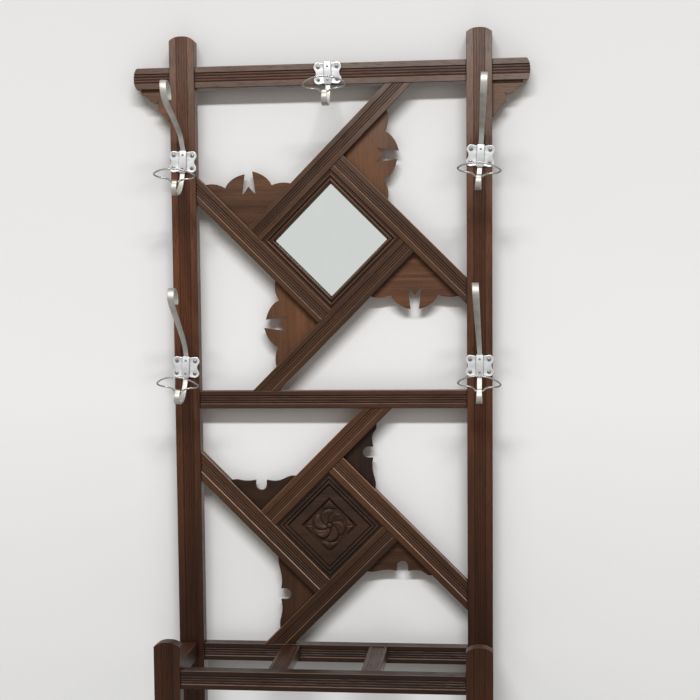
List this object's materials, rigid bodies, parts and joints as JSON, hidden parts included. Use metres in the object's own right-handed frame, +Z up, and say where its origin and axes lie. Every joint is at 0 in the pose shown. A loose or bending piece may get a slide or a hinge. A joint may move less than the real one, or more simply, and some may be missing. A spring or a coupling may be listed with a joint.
{
  "type": "coat and umbrella stand",
  "caption": "Tall hall stand in stained reeded wood with a small mirror, a carved panel, metal coat hooks and a front umbrella well with a lift-out drip tray.",
  "frame": {"origin": "on the floor, under the middle of the stand's box", "axes": "+Z up, -Y out of the front, towards whoever faces the mirror, +X to that person's right"},
  "size_m": [0.706, 0.223, 1.797],
  "materials": {
    "frame_wood": "dark reddish-brown stain on open grain, worn satin polish",
    "bar_wood": "dark brown stain, satin polish",
    "fret_wood": "golden brown stain, nearly matt",
    "carved_wood": "very dark stain, satin",
    "base_wood": "plain stained board, matt",
    "backing_wood": "thin unpolished board",
    "mirror": "silvered glass",
    "hook_aluminium": "satin, with fine scratches",
    "hook_wire": "polished wire",
    "tray_zinc": "dull zinc-coated sheet"
  },
  "bodies": {
    "stand": {"left_stile": "frame_wood", "right_stile": "frame_wood", "top_rail": "frame_wood", "mid_rail": "frame_wood", "well_back_rail": "frame_wood", "well_front_rail": "frame_wood", "well_left_rail": "frame_wood", "well_right_rail": "frame_wood", "left_divider": "frame_wood", "right_divider": "frame_wood", "left_front_post": "frame_wood", "right_front_post": "frame_wood", "base_back_rail": "frame_wood", "base_front_rail": "frame_wood", "base_left_rail": "frame_wood", "base_right_rail": "frame_wood", "upper_bar_left": "bar_wood", "upper_bar_top": "bar_wood", "upper_bar_right": "bar_wood", "upper_bar_bottom": "bar_wood", "lower_bar_left": "bar_wood", "lower_bar_top": "bar_wood", "lower_bar_right": "bar_wood", "lower_bar_bottom": "bar_wood", "mirror_frame_top_left": "bar_wood", "mirror_frame_top_right": "bar_wood", "mirror_frame_bottom_right": "bar_wood", "mirror_frame_bottom_left": "bar_wood", "upper_gusset_top_left": "fret_wood", "upper_gusset_top_right": "fret_wood", "upper_gusset_bottom_right": "fret_wood", "upper_gusset_bottom_left": "fret_wood", "lower_gusset_top_left": "fret_wood", "lower_gusset_top_right": "fret_wood", "lower_gusset_bottom_right": "fret_wood", "lower_gusset_bottom_left": "fret_wood", "left_bracket": "fret_wood", "right_bracket": "fret_wood", "carved_panel": "carved_wood", "floor_board": "base_wood", "mirror_backboard": "backing_wood", "mirror_glass": "mirror", "top_hook_plate": "hook_aluminium", "top_hook_strip": "hook_aluminium", "top_hook_wire": "hook_wire", "upper_left_hook_plate": "hook_aluminium", "upper_left_hook_strip": "hook_aluminium", "upper_left_hook_wire": "hook_wire", "upper_right_hook_plate": "hook_aluminium", "upper_right_hook_strip": "hook_aluminium", "upper_right_hook_wire": "hook_wire", "lower_left_hook_plate": "hook_aluminium", "lower_left_hook_strip": "hook_aluminium", "lower_left_hook_wire": "hook_wire", "lower_right_hook_plate": "hook_aluminium", "lower_right_hook_strip": "hook_aluminium", "lower_right_hook_wire": "hook_wire"},
    "tray": {"drip_tray": "tray_zinc"}
  },
  "joints": [
    {"name": "tray_lift", "type": "slide", "parent": "stand", "child": "tray", "axis": [0, 0, 1], "range_m": [0, 0.06]}
  ]
}
